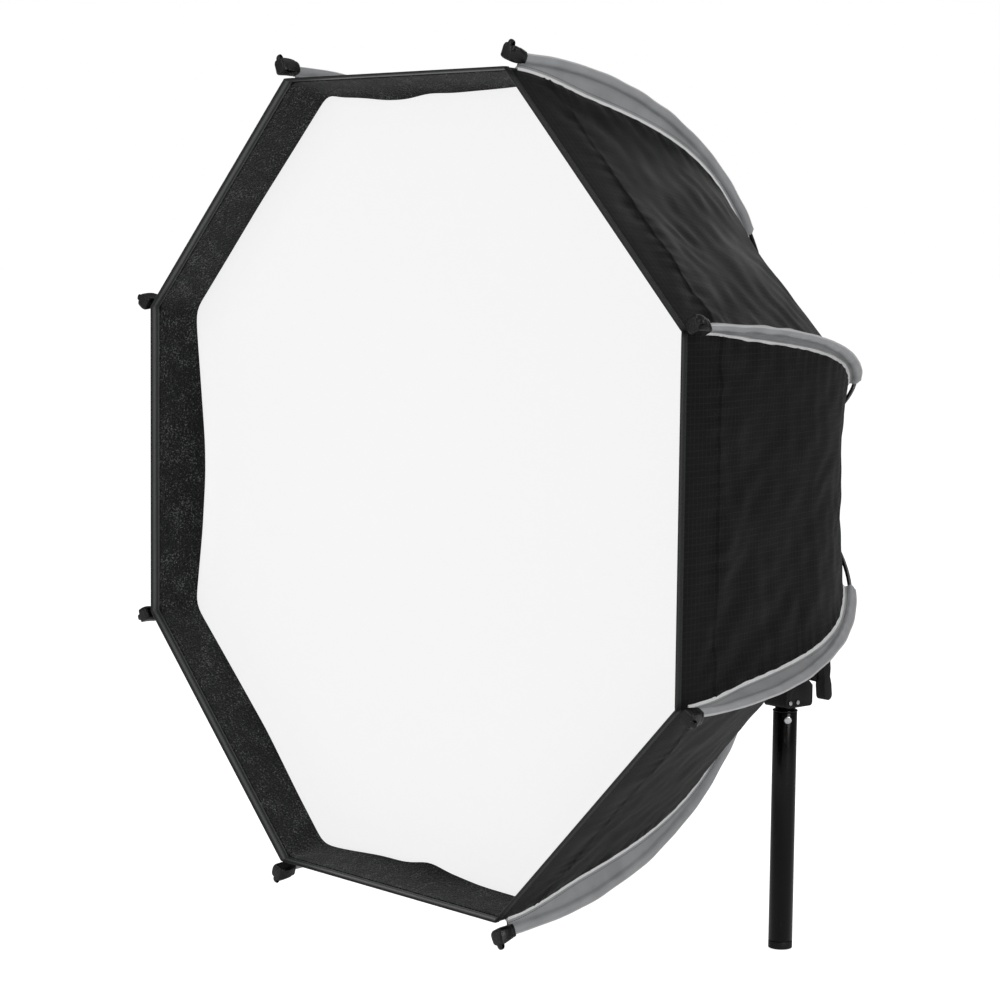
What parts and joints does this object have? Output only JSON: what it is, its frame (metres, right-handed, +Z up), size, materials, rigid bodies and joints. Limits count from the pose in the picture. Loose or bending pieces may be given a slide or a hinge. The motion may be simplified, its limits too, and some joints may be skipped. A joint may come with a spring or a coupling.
{
  "type": "studio softbox",
  "caption": "Folding octagonal softbox with a white front diffuser, curved ribs on a rear hub, and a tilting flash bracket on a stand tube.",
  "frame": {"origin": "centre of the flat foot of the stand tube", "axes": "+Z up along the stand tube; the softbox looks along -Y; +X is the side with the tilt handle"},
  "size_m": [0.7754, 0.6033, 0.8977],
  "materials": {
    "tube_paint": "satin black powder coat",
    "block_paint": "fine-textured black paint on cast metal",
    "plug_plastic": "moulded black nylon",
    "bright_metal": "bright zinc plate",
    "knob_plastic": "black glass-filled nylon, slightly glossy",
    "hub_plastic": "moulded black nylon, fine grain",
    "spring_wire": "drawn steel wire",
    "rod_paint": "black enamel on spring steel",
    "panel_cloth": "black coated ripstop nylon",
    "sleeve_cloth": "satin grey nylon binding",
    "diffuser_cloth": "matt white translucent polyester",
    "fastening_tape": "black hook tape",
    "tip_leather": "glossy black leatherette"
  },
  "bodies": {
    "stand": {"stand_tube": "tube_paint", "tube_foot_plug": "plug_plastic", "spigot": "bright_metal", "tube_top_ring": "tube_paint", "spigot_rivet": "bright_metal"},
    "swivel": {"swivel_block": "block_paint", "block_screw_1": "bright_metal", "block_screw_2": "bright_metal", "tilt_nut": "bright_metal", "tilt_washer": "bright_metal"},
    "stand_lock": {"stand_lock_knob": "knob_plastic"},
    "tilt_clamp": {"tilt_handle": "knob_plastic", "tilt_screw": "bright_metal"},
    "head": {"tilt_arm": "tube_paint", "hub_plate": "hub_plastic", "hub_cover": "hub_plastic", "hinge_wire": "spring_wire", "hub_screw_1": "bright_metal", "hub_screw_2": "bright_metal", "flash_rail": "tube_paint", "rail_bolt": "bright_metal", "rail_wing_nut": "bright_metal", "canopy_panel_1": "panel_cloth", "canopy_panel_2": "panel_cloth", "canopy_panel_3": "panel_cloth", "canopy_panel_4": "panel_cloth", "canopy_panel_5": "panel_cloth", "canopy_panel_6": "panel_cloth", "canopy_panel_7": "panel_cloth", "canopy_panel_8": "panel_cloth"},
    "shoe_mount": {"shoe_carriage": "block_paint", "cold_shoe": "bright_metal"},
    "shoe_clamp": {"shoe_knob": "knob_plastic"},
    "diffuser": {"front_diffuser": "diffuser_cloth", "diffuser_hem": "fastening_tape"},
    "rib_1": {"rib_rod_1": "rod_paint", "rib_sleeve_1": "sleeve_cloth", "rib_tip_cap_1": "tip_leather"},
    "rib_2": {"rib_rod_2": "rod_paint", "rib_sleeve_2": "sleeve_cloth", "rib_tip_cap_2": "tip_leather"},
    "rib_3": {"rib_rod_3": "rod_paint", "rib_sleeve_3": "sleeve_cloth", "rib_tip_cap_3": "tip_leather"},
    "rib_4": {"rib_rod_4": "rod_paint", "rib_sleeve_4": "sleeve_cloth", "rib_tip_cap_4": "tip_leather"},
    "rib_5": {"rib_rod_5": "rod_paint", "rib_sleeve_5": "sleeve_cloth", "rib_tip_cap_5": "tip_leather"},
    "rib_6": {"rib_rod_6": "rod_paint", "rib_sleeve_6": "sleeve_cloth", "rib_tip_cap_6": "tip_leather"},
    "rib_7": {"rib_rod_7": "rod_paint", "rib_sleeve_7": "sleeve_cloth", "rib_tip_cap_7": "tip_leather"},
    "rib_8": {"rib_rod_8": "rod_paint", "rib_sleeve_8": "sleeve_cloth", "rib_tip_cap_8": "tip_leather"}
  },
  "joints": [
    {"name": "pan", "type": "hinge", "parent": "stand", "child": "swivel", "pos_m": [0, 0, 0.2549], "axis": [0, 0, 1], "continuous": true},
    {"name": "stand_lock_turn", "type": "hinge", "parent": "swivel", "child": "stand_lock", "pos_m": [-0.02, 0, 0.2659], "axis": [-1, 0, 0], "range_deg": [0, 180]},
    {"name": "tilt", "type": "hinge", "parent": "swivel", "child": "head", "pos_m": [0, 0.0045, 0.291], "axis": [1, 0, 0], "range_deg": [-60, 60]},
    {"name": "tilt_handle_turn", "type": "hinge", "parent": "swivel", "child": "tilt_clamp", "pos_m": [0.03, 0.0045, 0.291], "axis": [1, 0, 0], "range_deg": [0, 180]},
    {"name": "shoe_slide", "type": "slide", "parent": "head", "child": "shoe_mount", "axis": [0, 1, 0], "range_m": [-0.006, 0.01]},
    {"name": "shoe_knob_turn", "type": "hinge", "parent": "shoe_mount", "child": "shoe_clamp", "pos_m": [0, 0.0395, 0.3849], "axis": [0, 0, -1], "range_deg": [0, 180]},
    {"name": "rib_1_fold", "type": "hinge", "parent": "head", "child": "rib_1", "pos_m": [0.07206, -0.0613, 0.53985], "axis": [0.3827, 0, -0.9239], "range_deg": [0, 36], "deforming": ["canopy_panel_1"]},
    {"name": "rib_2_fold", "type": "hinge", "parent": "head", "child": "rib_2", "pos_m": [0.02985, -0.0613, 0.58206], "axis": [0.9239, 0, -0.3827], "range_deg": [0, 36], "deforming": ["canopy_panel_2"]},
    {"name": "rib_3_fold", "type": "hinge", "parent": "head", "child": "rib_3", "pos_m": [-0.02985, -0.0613, 0.58206], "axis": [0.9239, 0, 0.3827], "range_deg": [0, 36], "deforming": ["canopy_panel_3"]},
    {"name": "rib_4_fold", "type": "hinge", "parent": "head", "child": "rib_4", "pos_m": [-0.07206, -0.0613, 0.53985], "axis": [0.3827, 0, 0.9239], "range_deg": [0, 36], "deforming": ["canopy_panel_4"]},
    {"name": "rib_5_fold", "type": "hinge", "parent": "head", "child": "rib_5", "pos_m": [-0.07206, -0.0613, 0.48015], "axis": [-0.3827, 0, 0.9239], "range_deg": [0, 36], "deforming": ["canopy_panel_5"]},
    {"name": "rib_6_fold", "type": "hinge", "parent": "head", "child": "rib_6", "pos_m": [-0.02985, -0.0613, 0.43794], "axis": [-0.9239, 0, 0.3827], "range_deg": [0, 36], "deforming": ["canopy_panel_6"]},
    {"name": "rib_7_fold", "type": "hinge", "parent": "head", "child": "rib_7", "pos_m": [0.02985, -0.0613, 0.43794], "axis": [-0.9239, 0, -0.3827], "range_deg": [0, 36], "deforming": ["canopy_panel_7"]},
    {"name": "rib_8_fold", "type": "hinge", "parent": "head", "child": "rib_8", "pos_m": [0.07206, -0.0613, 0.48015], "axis": [-0.3827, 0, -0.9239], "range_deg": [0, 36], "deforming": ["canopy_panel_8"]},
    {"name": "diffuser_lift_off", "type": "slide", "parent": "head", "child": "diffuser", "axis": [0, -1, 0], "range_m": [0, 0.3005], "deforming": ["front_diffuser", "diffuser_hem"]}
  ],
  "couplings": [
    {"joint": "rib_2_fold", "follows": "rib_1_fold", "ratio": 1},
    {"joint": "rib_3_fold", "follows": "rib_1_fold", "ratio": 1},
    {"joint": "rib_4_fold", "follows": "rib_1_fold", "ratio": 1},
    {"joint": "rib_5_fold", "follows": "rib_1_fold", "ratio": 1},
    {"joint": "rib_6_fold", "follows": "rib_1_fold", "ratio": 1},
    {"joint": "rib_7_fold", "follows": "rib_1_fold", "ratio": 1},
    {"joint": "rib_8_fold", "follows": "rib_1_fold", "ratio": 1},
    {"joint": "diffuser_lift_off", "follows": "rib_1_fold", "m_per_rad": 0.47746}
  ]
}
